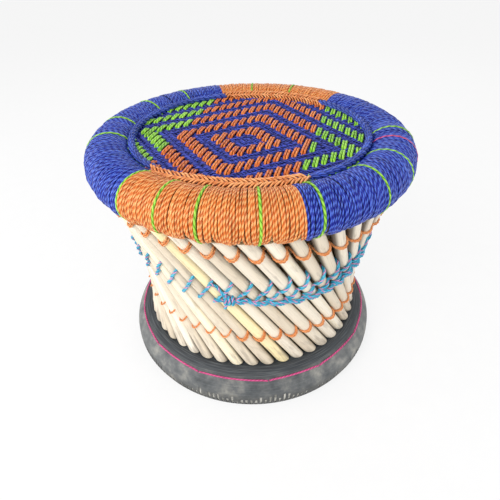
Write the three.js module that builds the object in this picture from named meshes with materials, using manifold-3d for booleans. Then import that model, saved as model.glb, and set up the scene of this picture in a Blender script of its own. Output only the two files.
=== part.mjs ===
// Mudda stool: two layers of crossing reed sticks standing on a split tyre, under a twine-wrapped rim.
// Millimetres, +Z up. The origin is on the floor, under the middle of the seat, and -Y is the front.

import * as THREE from 'three';
import { mergeVertices } from 'three/addons/utils/BufferGeometryUtils.js';
import Module from 'manifold-3d';

// Clearances
const seatingGap = 0.3;
const cordGap = 0.6;
const coreGap = 0.75;
const seatEdgeGap = 0.45;

// Heights above the floor
const tyreHeight = 61;
const waistHeight = 125;
const rimTopHeight = 373;

// Sticks
const stickCount = 46;
const stickDiameter = 18.4;
const stickSpacing = 1.15;
const layerSpacing = 0.4;
const stickFootBevel = 1.6;
const leanShare = 0.638;
const firstStickShare = 0.179;

// Rim
const rimHalfWidth = 35;
const rimHalfHeight = 32;
const rimOverhang = 3.4;
const coreFlatRise = 2.65;
const wrapThickness = 3.6;
const wrapLipRise = 1;
const bundleDepth = 1.8;
const wrapBundleCounts = { front: 7, right: 16, back: 7, left: 16 };
const bundleCountBeforeFront = 1;
const stepsPerBundle = 2;
const ovalSteps = 10;

// Seat
const seatDrop = 13;
const seatThickness = 8;
const seatEdgeFall = 0.6;
const braidHalfWidth = 6;
const braidHalfHeight = 3.2;
const braidSides = 8;

// Hoops inside the sticks
const waistHoopWidth = 9;
const waistHoopHeight = 14;
const waistHoopBite = 2;
const baseHoopWidth = 12;
const baseHoopHeight = 13;
const baseHoopRounding = 3;

// Tyre
const tyreShoulderWidth = 28;
const tyreLedgeMargin = 2.3;
const tyreBeadMargin = 6;
const tyreBeadDepth = 13;
const tyreBeadThickness = 14;
const tyreWall = 8;
const treadHeight = 24;
const treadTaper = 5;
const treadThickness = 12;
const treadGrooveDepth = 3.2;
const treadBlockCount = 40;

// Cords
const cordSinkShare = 0.6;
const stitchDiameter = 3;
const stitchHoleCount = 13;
const stepsPerStitch = 5;
const stitchHoleDip = 0.5;
const stitchLineInset = 15;
const upperLashingDrop = 26.7;
const upperLashingSideDrop = 17;
const upperLashingCord = 3.2;
const upperLashingRows = 2;
const lowerLashingRise = 59.2;
const lowerLashingSideDrop = 7;
const lowerLashingCord = 3.2;
const lowerLashingRows = 1;
const waistLashingDrop = 73.7;
const waistLashingDepth = 39;
const longStitchCounts = [0, 22];
const sticksCrossedCounts = { usual: 2, long: 3 };
const waistLashingCord = 4.4;
const waistLashingGap = 1.3;

const stickRadius = stickDiameter / 2;
const stickPitch = 2 * Math.PI / stickCount;
const firstStickTurn = firstStickShare * stickPitch;
const coreUndersideDrop = rimHalfHeight - wrapThickness - coreGap - coreFlatRise;
const stickTopHeight = rimTopHeight - rimHalfHeight - coreUndersideDrop - seatingGap;
const stickFootHeight = tyreHeight + seatingGap;
const upperLashingHeight = stickTopHeight - upperLashingDrop;
const lowerLashingHeight = stickFootHeight + lowerLashingRise;
const waistLashingTop = stickTopHeight - waistLashingDrop;
const waistLashingBottom = waistLashingTop - waistLashingDepth;

// Where the two layers run: each stick is a straight ruling of a waisted surface
const leanStretch = Math.hypot(1, leanShare);
const outerWaistRadius = (stickDiameter + stickSpacing) * leanStretch / (2 * Math.sin(stickPitch / 2));
const innerWaistRadius = outerWaistRadius - stickDiameter - layerSpacing;
const outerLayer = { waistRadius: outerWaistRadius, leanShare, sides: 8 };
const innerLayer = {
  waistRadius: innerWaistRadius,
  leanShare: -leanShare * innerWaistRadius / outerWaistRadius,
  sides: 6,
};

function axisRadius(layer, height) {
  return Math.hypot(layer.waistRadius, layer.leanShare * (waistHeight - height));
}

function leanTurn(layer, height) {
  return Math.atan(layer.leanShare * (waistHeight - height) / layer.waistRadius);
}

const outerTopRadius = axisRadius(outerLayer, stickTopHeight);
const innerTopRadius = axisRadius(innerLayer, stickTopHeight);
const rimRadius = (outerTopRadius + innerTopRadius) / 2 + rimOverhang;
const rimHeight = rimTopHeight - rimHalfHeight;
const rimLipHeight = rimHeight - coreUndersideDrop + wrapLipRise;
const seatTopHeight = rimTopHeight - seatDrop;
const ledgeRadius = axisRadius(outerLayer, stickFootHeight) + stickRadius + tyreLedgeMargin;
const tyreRadius = ledgeRadius + tyreShoulderWidth;
const baseHoopTop = stickFootHeight + baseHoopHeight;
const baseHoopRadius = axisRadius(innerLayer, baseHoopTop) - stickRadius - seatingGap - baseHoopWidth / 2;
const beadRadius = baseHoopRadius - baseHoopWidth / 2 - tyreBeadMargin;

const wasm = await Module();
wasm.setup();

// Materials

function finish(color, roughness) {
  return new THREE.MeshStandardMaterial({ color, roughness, metalness: 0 });
}

const rubber = finish(0x53575a, 0.85);
const reed = finish(0xefe0bd, 0.7);
const reedShade = finish(0xd8c49a, 0.75);
const hoopCane = finish(0x7c4630, 0.8);
const strawCore = finish(0xcdb888, 0.9);
const orangeTwine = finish(0xe8843e, 0.5);
const blueTwine = finish(0x3a41b4, 0.45);
const blueRope = finish(0x35aed6, 0.5);
const pinkCord = finish(0xc84a86, 0.5);

// Solids

function signedVolume(geometry) {
  const corner = geometry.attributes.position;
  const index = geometry.index;
  const [a, b, c] = [new THREE.Vector3(), new THREE.Vector3(), new THREE.Vector3()];
  let volume = 0;
  for (let i = 0; i < index.count; i += 3) {
    a.fromBufferAttribute(corner, index.getX(i));
    b.fromBufferAttribute(corner, index.getX(i + 1));
    c.fromBufferAttribute(corner, index.getX(i + 2));
    volume += a.dot(b.cross(c)) / 6;
  }
  return volume;
}

// Shared vertices are merged, triangles that have no area are dropped, and all faces look outward
function closed(geometry) {
  geometry.deleteAttribute('normal');
  geometry.deleteAttribute('uv');
  const merged = mergeVertices(geometry);
  const kept = [];
  for (let i = 0; i < merged.index.count; i += 3) {
    const [a, b, c] = [merged.index.getX(i), merged.index.getX(i + 1), merged.index.getX(i + 2)];
    if (a !== b && b !== c && c !== a) kept.push(a, b, c);
  }
  merged.setIndex(kept);
  if (signedVolume(merged) < 0) merged.setIndex(kept.reverse());
  merged.computeVertexNormals();
  return merged;
}

// A profile of [radius, height] points turned round the Z axis
function turned(profile, steps) {
  const points = profile.map(([radius, height]) => new THREE.Vector2(radius, height));
  return closed(new THREE.LatheGeometry(points, steps).rotateX(Math.PI / 2));
}

// Rings of points joined into a skin, each ring closed on itself. A round skin joins its last ring to the
// first, and any other skin is capped at both ends
function skin(rings, round) {
  const size = rings[0].length;
  const positions = rings.flat().flatMap((point) => point.toArray());
  const index = [];
  const spans = round ? rings.length : rings.length - 1;
  for (let i = 0; i < spans; i++) {
    const near = i * size;
    const far = ((i + 1) % rings.length) * size;
    for (let j = 0; j < size; j++) {
      const k = (j + 1) % size;
      index.push(near + j, far + j, far + k, near + j, far + k, near + k);
    }
  }
  if (!round) {
    const last = (rings.length - 1) * size;
    for (const [a, b, c] of capTriangles(rings[0])) index.push(a, b, c);
    for (const [a, b, c] of capTriangles(rings.at(-1))) index.push(last + a, last + c, last + b);
  }
  const geometry = new THREE.BufferGeometry();
  geometry.setAttribute('position', new THREE.Float32BufferAttribute(positions, 3));
  geometry.setIndex(index);
  return closed(geometry);
}

// Triangles over an upright ring that need not be convex, turned the way that the ring runs
function capTriangles(ring) {
  const outline = ring.map((point) => new THREE.Vector2(Math.hypot(point.x, point.y), point.z));
  const triangles = THREE.ShapeUtils.triangulateShape([...outline], []);
  return THREE.ShapeUtils.isClockWise(outline) ? triangles.map((corners) => corners.reverse()) : triangles;
}

function toManifold(geometry) {
  return new wasm.Manifold(new wasm.Mesh({
    numProp: 3,
    vertProperties: new Float32Array(geometry.attributes.position.array),
    triVerts: new Uint32Array(geometry.index.array),
  }));
}

function fromManifold(solid) {
  const mesh = solid.getMesh();
  const geometry = new THREE.BufferGeometry();
  geometry.setAttribute('position', new THREE.Float32BufferAttribute(mesh.vertProperties, 3));
  geometry.setIndex(Array.from(mesh.triVerts));
  return closed(geometry);
}

// A point at a turn from the front, counted towards the right
function around(turn, radius, height) {
  return new THREE.Vector3(radius * Math.sin(turn), -radius * Math.cos(turn), height);
}

// Sticks

// A stick with level ends, bevelled at the foot, drawn at the front of its layer
function stickGeometry(layer) {
  const profile = [
    [0, stickFootHeight],
    [stickRadius - stickFootBevel, stickFootHeight],
    [stickRadius, stickFootHeight + stickFootBevel],
    [stickRadius, stickTopHeight],
    [0, stickTopHeight],
  ];
  const stretch = Math.hypot(1, layer.leanShare);
  const lean = new THREE.Matrix4().set(
    stretch, 0, -layer.leanShare, layer.leanShare * waistHeight,
    0, 1, 0, -layer.waistRadius,
    0, 0, 1, 0,
    0, 0, 0, 1,
  );
  return turned(profile, layer.sides).applyMatrix4(lean);
}

function outerSticks() {
  const geometry = stickGeometry(outerLayer);
  return Array.from({ length: stickCount }, (_, k) => {
    const stick = new THREE.Mesh(geometry, reed);
    stick.name = `outer_stick_${String(k + 1).padStart(2, '0')}`;
    stick.rotation.z = firstStickTurn + k * stickPitch;
    return stick;
  });
}

// The inner sticks are pegged to a split-cane hoop at the waist
function innerSticks() {
  const outside = innerWaistRadius - stickRadius + waistHoopBite;
  const inside = outside - waistHoopWidth;
  const bottom = waistHeight - waistHoopHeight / 2;
  const top = bottom + waistHoopHeight;
  const hoop = [[inside, bottom], [outside, bottom], [outside, top], [inside, top], [inside, bottom]];
  let solid = toManifold(turned(hoop, stickCount));
  for (let k = 0; k < stickCount; k++) {
    const stick = stickGeometry(innerLayer).rotateZ(firstStickTurn + k * stickPitch);
    solid = solid.add(toManifold(stick));
  }
  return fromManifold(solid);
}

// Hoops and tyre

function baseHoop() {
  const bottom = stickFootHeight;
  const top = baseHoopTop;
  const inside = baseHoopRadius - baseHoopWidth / 2;
  const outside = baseHoopRadius + baseHoopWidth / 2;
  const round = baseHoopRounding;
  return turned([
    [inside, bottom], [outside, bottom],
    [outside, top - round], [outside - round, top],
    [inside + round, top], [inside, top - round],
    [inside, bottom],
  ], stickCount);
}

// One side of the sidewall, from the tread's shoulder over to the ledge that the sticks stand on
function sidewallArc(shoulderInset, ledgeInset, steps) {
  const shoulder = tyreRadius - shoulderInset;
  const ledge = tyreHeight - ledgeInset;
  return new THREE.CubicBezierCurve(
    new THREE.Vector2(shoulder, treadHeight),
    new THREE.Vector2(shoulder, (treadHeight + tyreHeight) / 2),
    new THREE.Vector2(ledgeRadius + tyreShoulderWidth / 3, ledge),
    new THREE.Vector2(ledgeRadius, ledge),
  ).getPoints(steps).map((point) => point.toArray());
}

const sidewall = sidewallArc(0, 0, 5);

function tyreProfile() {
  return [
    [tyreRadius - treadTaper, 0],
    [tyreRadius, treadHeight / 2],
    ...sidewall,
    [beadRadius + tyreBeadDepth / 2, tyreHeight],
    [beadRadius, tyreHeight - tyreBeadThickness / 2],
    [beadRadius + tyreBeadDepth / 2, tyreHeight - tyreBeadThickness],
    [beadRadius + tyreBeadDepth, tyreHeight - tyreWall],
    ...sidewallArc(treadThickness, tyreWall, 2).reverse(),
    [tyreRadius - treadThickness - treadTaper, 0],
  ];
}

// The split tyre, with a groove in every other step of its tread
function tyre() {
  const profile = tyreProfile();
  const steps = treadBlockCount * 2;
  const rings = Array.from({ length: steps }, (_, i) => profile.map(([radius, height], j) => {
    const groove = i % 2 === 1 && j < 2 ? treadGrooveDepth : 0;
    return around(i * 2 * Math.PI / steps, radius - groove, height);
  }));
  return skin(rings, true);
}

// Rim and seat

// The point between two [radius, height] points that has this height
function atHeight([startRadius, startHeight], [endRadius, endHeight], height) {
  const share = (height - startHeight) / (endHeight - startHeight);
  return [THREE.MathUtils.lerp(startRadius, endRadius, share), height];
}

// The rim's oval section, drawn in by an inset, from its outer lip over the top to its inner lip. All insets
// have their corners at the same angles, and both ends are cut level at the lip's height
function ovalArc(inset, lipHeight) {
  const floorAngle = -Math.asin(coreUndersideDrop / (rimHalfHeight - wrapThickness - coreGap));
  const arc = Array.from({ length: ovalSteps + 1 }, (_, i) => {
    const angle = floorAngle + (Math.PI - 2 * floorAngle) * i / ovalSteps;
    return [
      rimRadius + (rimHalfWidth - inset) * Math.cos(angle),
      rimHeight + (rimHalfHeight - inset) * Math.sin(angle),
    ];
  });
  arc[0] = atHeight(arc[0], arc[1], lipHeight);
  arc[ovalSteps] = atHeight(arc[ovalSteps], arc[ovalSteps - 1], lipHeight);
  return arc;
}

// The wrapped rim's inner wall from one height up to another, both above its middle
function rimInsideWall(bottom, top) {
  const arc = ovalArc(0, rimLipHeight).reverse();
  const overBottom = arc.findIndex((point) => point[1] > bottom && point[0] < rimRadius);
  const overTop = arc.findIndex((point) => point[1] > top && point[0] < rimRadius);
  return [
    atHeight(arc[overBottom - 1], arc[overBottom], bottom),
    ...arc.slice(overBottom, overTop),
    atHeight(arc[overTop - 1], arc[overTop], top),
  ];
}

function rimCore() {
  const profile = ovalArc(wrapThickness + coreGap, rimHeight - coreUndersideDrop);
  return turned([...profile, profile[0]], stickCount);
}

// One colour's stretch of the twine wrap. Its strands gather into one bundle between each two sticks
function rimWrap(firstBundle, bundles) {
  const outside = ovalArc(0, rimLipHeight);
  const inside = ovalArc(wrapThickness, rimLipHeight).reverse();
  const steps = bundles * stepsPerBundle;
  const endTurn = seatingGap / rimRadius / 2;
  const firstTurn = firstStickTurn + leanTurn(outerLayer, stickTopHeight) + firstBundle * stickPitch;
  const lastTurn = firstTurn + bundles * stickPitch;
  const rings = Array.from({ length: steps + 1 }, (_, i) => {
    const turn = THREE.MathUtils.lerp(firstTurn + endTurn, lastTurn - endTurn, i / steps);
    const swell = i % stepsPerBundle === 0 ? -bundleDepth : bundleDepth;
    const skinPoints = outside.map(([radius, height]) => {
      const gathered = Math.max(0, rimHeight - height) / rimHalfHeight * swell;
      return around(turn, radius + gathered * Math.sign(radius - rimRadius), height);
    });
    return [...skinPoints, ...inside.map(([radius, height]) => around(turn, radius, height))];
  });
  return skin(rings, false);
}

// The seat is level inside the braid, and its edge is drawn down a little towards the rim
function seatWeave() {
  const bottom = seatTopHeight - seatThickness;
  const edgeTop = seatTopHeight - seatEdgeFall;
  const [start, end] = rimInsideWall(bottom, edgeTop).slice(-2);
  const edge = [atHeight(start, end, bottom), end].map(([radius, height]) => [radius - seatEdgeGap, height]);
  const levelRadius = braidRadius() - braidHalfWidth - seatEdgeGap;
  return turned([[0, bottom], ...edge, [levelRadius, seatTopHeight], [0, seatTopHeight]], stickCount);
}

function braidMiddle() {
  return seatTopHeight + seatingGap + braidHalfHeight;
}

function braidRadius() {
  const [[wallRadius]] = rimInsideWall(braidMiddle() - braidHalfHeight / 2, braidMiddle());
  return wallRadius - seatEdgeGap - braidHalfWidth;
}

// The plait that covers the joint of seat and rim
function seatBraid() {
  const profile = Array.from({ length: braidSides + 1 }, (_, i) => {
    const angle = i * 2 * Math.PI / braidSides;
    return [
      braidRadius() + braidHalfWidth * Math.cos(angle),
      braidMiddle() + braidHalfHeight * Math.sin(angle),
    ];
  });
  return turned(profile, stickCount);
}

// Cords

// How far from the axis a cord lies on the outer sticks, where its middle keeps this reach from them
function cordRadius(turn, height, reach) {
  const outward = around(turn, 1, 0);
  let radius = axisRadius(outerLayer, height) + cordSinkShare * reach;
  for (let k = 0; k < stickCount; k++) {
    const stickTurn = firstStickTurn + k * stickPitch;
    const foot = around(stickTurn, outerLayer.waistRadius, waistHeight);
    const along = new THREE.Vector3(-leanShare * Math.cos(stickTurn), -leanShare * Math.sin(stickTurn), 1);
    along.normalize();
    const offset = new THREE.Vector3(0, 0, height).sub(foot);
    const a = 1 - outward.dot(along) ** 2;
    const b = outward.dot(offset) - outward.dot(along) * offset.dot(along);
    const c = offset.lengthSq() - offset.dot(along) ** 2 - reach * reach;
    const root = b * b - a * c;
    if (root > 0) radius = Math.max(radius, (-b + Math.sqrt(root)) / a);
  }
  return radius;
}

// A tube along points that return to their start. Its section is [out, up] pairs
function cordRing(points, section) {
  const rings = points.map((point, i) => {
    const before = points[(i + points.length - 1) % points.length];
    const after = points[(i + 1) % points.length];
    const along = after.clone().sub(before).normalize();
    const out = new THREE.Vector3(point.x, point.y, 0).normalize();
    out.addScaledVector(along, -out.dot(along)).normalize();
    const up = along.clone().cross(out);
    return section.map(([x, y]) => point.clone().addScaledVector(out, x).addScaledVector(up, y));
  });
  return skin(rings, true);
}

function roundSection(diameter, sides, rows = 1) {
  return Array.from({ length: sides }, (_, i) => {
    const angle = i * 2 * Math.PI / sides;
    return [diameter / 2 * Math.cos(angle), rows * diameter / 2 * Math.sin(angle)];
  });
}

// A row of twine that goes round every stick, dipping in between them
function rowLashing(height, sideDrop, cord, rows) {
  const stepsPerStick = 4;
  const points = Array.from({ length: stickCount * stepsPerStick }, (_, i) => {
    let turn = i * stickPitch / stepsPerStick;
    let level = height;
    for (let pass = 0; pass < 4; pass++) {
      level = height - sideDrop * Math.sin(turn);
      turn = firstStickTurn + leanTurn(outerLayer, level) + i * stickPitch / stepsPerStick;
    }
    return around(turn, cordRadius(turn, level, stickRadius + cord / 2 + cordGap), level);
  });
  return cordRing(points, roundSection(cord, 4, rows));
}

// The waist rope goes twice round. Each stitch crosses two sticks downward and climbs back in their groove,
// and two stitches cross three sticks, so that the second round fills the grooves that the first passed
function waistLashing() {
  const reach = stickRadius + waistLashingCord / 2 + waistLashingGap;
  const stitchCount = stickCount - 1;
  const points = [];
  let groove = 0.5;
  for (let stitch = 0; stitch < stitchCount; stitch++) {
    const width = longStitchCounts.includes(stitch) ? sticksCrossedCounts.long : sticksCrossedCounts.usual;
    const levels = [0, ...Array.from({ length: width * 2 - 1 }, (_, i) => (i + 1) / (width * 2)), 1, 0.5];
    levels.forEach((share, i) => {
      const returning = i === levels.length - 1;
      const level = THREE.MathUtils.lerp(waistLashingTop, waistLashingBottom, share);
      const phase = returning ? groove - width : groove - width * share;
      const turn = firstStickTurn + leanTurn(outerLayer, level) + phase * stickPitch;
      const crossing = share > 0 && share < 1 && !returning;
      const lying = cordRadius(turn, level, reach);
      const taut = axisRadius(outerLayer, level) + reach + seatingGap;
      points.push(around(turn, crossing ? Math.max(lying, taut) : lying, level));
    });
    groove -= width;
  }
  reportLeastGap('waist_lashing', points, waistLashingCord);
  return cordRing(points, roundSection(waistLashingCord, 4));
}

// The pink cord that sews the tyre to the stool, pulled down into its stitch holes
function tyreStitching() {
  const after = sidewall.findIndex((point) => point[0] < tyreRadius - stitchLineInset);
  const start = new THREE.Vector2(...sidewall[after - 1]);
  const end = new THREE.Vector2(...sidewall[after]);
  const middle = start.clone().lerp(end, 0.5);
  const outward = end.clone().sub(start).normalize().rotateAround(new THREE.Vector2(), -Math.PI / 2);
  const points = Array.from({ length: stitchHoleCount * stepsPerStitch }, (_, i) => {
    const rise = i % stepsPerStitch === 0 ? 0 : stitchHoleDip;
    const point = middle.clone().addScaledVector(outward, stitchDiameter / 2 + seatingGap + rise);
    return around(i * 2 * Math.PI / (stitchHoleCount * stepsPerStitch), point.x, point.y);
  });
  return cordRing(points, roundSection(stitchDiameter, 4));
}

// The least distance between parts of a cord that are not next to each other, less its thickness
function reportLeastGap(name, points, diameter) {
  let least = Infinity;
  const apart = 4;
  const near = [new THREE.Vector3(), new THREE.Vector3()];
  points.forEach((point, i) => {
    for (let j = i + apart; j < points.length - apart; j++) {
      const start = points[j];
      const end = points[j + 1];
      new THREE.Line3(start, end).closestPointToPoint(point, true, near[0]);
      least = Math.min(least, near[0].distanceTo(point));
    }
  });
  console.log(`${name}: least gap to itself ${(least - diameter).toFixed(2)} mm`);
}

// Assembly

const stool = new THREE.Group();
stool.name = 'mudda_stool';

function addPiece(name, geometry, material) {
  const mesh = new THREE.Mesh(geometry, material);
  mesh.name = name;
  stool.add(mesh);
}

addPiece('tyre', tyre(), rubber);
addPiece('tyre_stitching', tyreStitching(), pinkCord);
addPiece('base_hoop', baseHoop(), hoopCane);
stool.add(...outerSticks());
addPiece('inner_sticks', innerSticks(), reedShade);
addPiece('lower_lashing',
  rowLashing(lowerLashingHeight, lowerLashingSideDrop, lowerLashingCord, lowerLashingRows), orangeTwine);
addPiece('waist_lashing', waistLashing(), blueRope);
addPiece('upper_lashing',
  rowLashing(upperLashingHeight, upperLashingSideDrop, upperLashingCord, upperLashingRows), orangeTwine);
addPiece('rim_core', rimCore(), strawCore);
let firstBundle = -bundleCountBeforeFront;
for (const [side, bundles] of Object.entries(wrapBundleCounts)) {
  const twine = side === 'front' || side === 'back' ? orangeTwine : blueTwine;
  addPiece(`rim_wrap_${side}`, rimWrap(firstBundle, bundles), twine);
  firstBundle += bundles;
}
addPiece('seat_weave', seatWeave(), blueTwine);
addPiece('seat_braid', seatBraid(), orangeTwine);

export default stool;
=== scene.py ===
from math import atan, atan2, ceil, cos, degrees, floor, hypot, pi, radians, sin, tau
from random import Random

import bmesh
import bpy
from mathutils import Matrix, Vector, noise


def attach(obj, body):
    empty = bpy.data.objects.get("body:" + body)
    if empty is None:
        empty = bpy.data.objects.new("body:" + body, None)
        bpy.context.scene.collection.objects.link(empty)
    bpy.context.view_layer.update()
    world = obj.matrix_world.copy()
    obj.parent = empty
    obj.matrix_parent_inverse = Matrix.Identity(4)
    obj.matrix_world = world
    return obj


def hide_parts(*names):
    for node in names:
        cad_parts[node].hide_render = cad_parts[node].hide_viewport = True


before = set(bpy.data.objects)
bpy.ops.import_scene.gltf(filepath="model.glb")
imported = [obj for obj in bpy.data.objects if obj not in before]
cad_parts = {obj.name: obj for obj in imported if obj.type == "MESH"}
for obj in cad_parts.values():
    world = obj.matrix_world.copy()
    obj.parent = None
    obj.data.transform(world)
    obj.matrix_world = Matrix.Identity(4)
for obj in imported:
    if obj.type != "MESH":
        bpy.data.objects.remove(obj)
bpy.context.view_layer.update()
print("frame loaded")

# Where things are, in metres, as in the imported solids. A turn counts from the front towards the right.
stool = {
    "sticks": 46,
    "stickRadius": 0.0092,
    "stickSpacing": 0.00115,
    "layerSpacing": 0.0004,
    "lean": 0.638,
    "firstShare": 0.179,
    "waistHeight": 0.125,
    "footHeight": 0.0613,
    "topHeight": 0.3157,
    "rimHeight": 0.341,
    "rimHalfWidth": 0.035,
    "rimHalfHeight": 0.032,
    "rimOverhang": 0.0034,
    "tyreHeight": 0.061,
    "ledgeMargin": 0.0023,
    "shoulderWidth": 0.028,
}
pitch = tau / stool["sticks"]
firstTurn = stool["firstShare"] * pitch
outerPitch = (2 * stool["stickRadius"] + stool["stickSpacing"]) * hypot(1, stool["lean"])
outerWaist = outerPitch / (2 * sin(pitch / 2))
innerWaist = outerWaist - 2 * stool["stickRadius"] - stool["layerSpacing"]
outerLayer = {"waist": outerWaist, "lean": stool["lean"]}
innerLayer = {"waist": innerWaist, "lean": -stool["lean"] * innerWaist / outerWaist}
upward = Vector((0, 0, 1))


# How far to the side a stick is at a height, from where it crosses the waist
def leaned(layer, height):
    return layer["lean"] * (stool["waistHeight"] - height)


def axisRadius(layer, height):
    return hypot(layer["waist"], leaned(layer, height))


def leanTurn(layer, height):
    return atan(leaned(layer, height) / layer["waist"])


def around(turn, radius, height):
    return Vector((radius * sin(turn), -radius * cos(turn), height))


def outwardAt(turn):
    return around(turn, 1, 0)


def sidewaysAt(turn):
    return Vector((cos(turn), sin(turn), 0))


# The middle of a stick at a height. The turn is where the stick crosses the waist.
def stickMiddle(layer, turn, height):
    return around(turn, layer["waist"], height) + sidewaysAt(turn) * leaned(layer, height)


rimRadius = (axisRadius(outerLayer, stool["topHeight"]) + axisRadius(innerLayer, stool["topHeight"])) / 2
rimRadius += stool["rimOverhang"]
ledgeRadius = axisRadius(outerLayer, stool["footHeight"]) + stool["stickRadius"] + stool["ledgeMargin"]
tyreRadius = ledgeRadius + stool["shoulderWidth"]


def mixed(start, end, share):
    return start + (end - start) * share


# Even shares from 0 to 1
def shares(count):
    return [i / count for i in range(count + 1)]


def eased(value):
    value = min(1, max(0, value))
    return value * value * (3 - 2 * value)


def uneven(x, y=0.0, z=0.0):
    return noise.noise(Vector((x, y, z)))


def addObject(name, data):
    thing = bpy.data.objects.new(name, data)
    bpy.context.collection.objects.link(thing)
    return thing


def meshFrom(name, bm):
    mesh = bpy.data.meshes.new(name)
    bm.to_mesh(mesh)
    bm.free()
    return mesh


# Camera
camera = {
    "place": (-0.0032, -0.6028, 0.5943),
    "down": 36.64,
    "roll": -1.08,
    "lens": 30.80,
}
lens = bpy.data.cameras.new("photoCamera")
lens.lens = camera["lens"]
lens.sensor_width = 36
lens.clip_start = 0.05
photoCamera = addObject("photoCamera", lens)
photoCamera.matrix_world = (Matrix.Translation(camera["place"])
                            @ Matrix.Rotation(radians(90 - camera["down"]), 4, "X")
                            @ Matrix.Rotation(radians(camera["roll"]), 4, "Z"))
bpy.context.scene.camera = photoCamera
bpy.context.scene.view_settings.view_transform = "Standard"


# Nodes

# A screen colour from 0 to 255 as the linear colour that nodes take, or a share of its light
def tint(red, green, blue, share=1.0):
    parts = []
    for value in (red / 255, green / 255, blue / 255):
        parts.append(share * (value / 12.92 if value <= 0.04045 else ((value + 0.055) / 1.055) ** 2.4))
    return (*parts, 1)


# Sets a socket to a value, or links it where the value is another node's output
def feed(tree, socket, value):
    if isinstance(value, bpy.types.NodeSocket):
        tree.links.new(value, socket)
    else:
        socket.default_value = value


def addNode(tree, kind, inputs=None, **settings):
    node = tree.nodes.new(kind)
    for name, value in settings.items():
        setattr(node, name, value)
    for name, value in (inputs or {}).items():
        feed(tree, node.inputs[name], value)
    return node


def addMath(tree, operation, *values):
    return addNode(tree, "ShaderNodeMath", dict(enumerate(values)), operation=operation).outputs[0]


def addMix(tree, share, start, end):
    return addNode(tree, "ShaderNodeMix", {0: share, 6: start, 7: end}, data_type="RGBA").outputs[2]


# Lays a stain over a colour, as strong as its mask times its weight
def addStain(tree, color, mask, weight, stain):
    return addMix(tree, addMath(tree, "MULTIPLY", mask, weight), color, stain)


def addRange(tree, value, start, end, low=0.0, high=1.0):
    limits = {"Value": value, "From Min": start, "From Max": end, "To Min": low, "To Max": high}
    return addNode(tree, "ShaderNodeMapRange", limits).outputs[0]


def addNoise(tree, place, scale, detail, roughness=0.5, distortion=0.0):
    return addNode(tree, "ShaderNodeTexNoise", {"Vector": place, "Scale": scale, "Detail": detail,
                                                "Roughness": roughness, "Distortion": distortion}).outputs[0]


def addRamp(tree, value, *stops):
    node = addNode(tree, "ShaderNodeValToRGB", {0: value})
    while len(node.color_ramp.elements) < len(stops):
        node.color_ramp.elements.new(0.5)
    for element, (place, color) in zip(node.color_ramp.elements, stops):
        element.position = place
        element.color = tint(*color)
    return node.outputs[0]


def separated(tree, place):
    return addNode(tree, "ShaderNodeSeparateXYZ", {0: place}).outputs


# The surface's place in its UV map or, with "Object", in the stool's own space
def placeOf(tree, space):
    return addNode(tree, "ShaderNodeTexCoord").outputs[space]


def toneOf(tree):
    return addNode(tree, "ShaderNodeAttribute", attribute_name="tone").outputs["Fac"]


def newGroup(name, inputs, outputs):
    group = bpy.data.node_groups.new(name, "ShaderNodeTree")
    group.interface.new_socket(name="Vector", in_out="INPUT", socket_type="NodeSocketVector")
    for label, value in inputs.items():
        socket = group.interface.new_socket(name=label, in_out="INPUT", socket_type="NodeSocketFloat")
        socket.default_value = value
    for label in outputs:
        group.interface.new_socket(name=label, in_out="OUTPUT", socket_type="NodeSocketFloat")
    return group, addNode(group, "NodeGroupInput").outputs, addNode(group, "NodeGroupOutput").inputs


def useGroup(tree, group, inputs):
    return addNode(tree, "ShaderNodeGroup", inputs, node_tree=group).outputs


def newMaterial(name):
    material = bpy.data.materials.new(name)
    material.use_nodes = True
    tree = material.node_tree
    return material, tree, tree.nodes["Principled BSDF"]


def finishSurface(tree, shader, color, relief, depth, strength, rough):
    feed(tree, shader.inputs["Base Color"], color)
    bump = addNode(tree, "ShaderNodeBump", {"Height": relief, "Distance": depth, "Strength": strength})
    feed(tree, shader.inputs["Normal"], bump.outputs[0])
    feed(tree, shader.inputs["Roughness"], rough)


# A plain grained surface: one noise gives its colour, its relief and its roughness
def grainMaterial(name, space, grain, detail, stops, depth, strength, rough, distortion=0.0):
    material, tree, shader = newMaterial(name)
    spread = addNode(tree, "ShaderNodeMapping", {"Vector": placeOf(tree, space), "Scale": grain})
    height = addNoise(tree, spread.outputs[0], 1.0, detail, distortion=distortion)
    color = addRamp(tree, height, *stops)
    finishSurface(tree, shader, color, height, depth, strength,
                  addMath(tree, "MULTIPLY_ADD", height, *rough))
    return material


# A strand's UV is the turn round it and the length along it in metres. Rolled up, it has no seam.
def rolledGroup():
    group, start, end = newGroup("rolledStrand", {"Girth": 1.0, "Length": 1.0, "Shift": 0.0}, "XYZ")
    parts = separated(group, start["Vector"])
    turn = addMath(group, "MULTIPLY", parts["X"], tau)
    for axis, wave in (("X", "COSINE"), ("Y", "SINE")):
        feed(group, end[axis], addMath(group, "MULTIPLY", addMath(group, wave, turn), start["Girth"]))
    feed(group, end["Z"], addMath(group, "MULTIPLY_ADD", parts["Y"], start["Length"], start["Shift"]))
    return group


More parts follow.
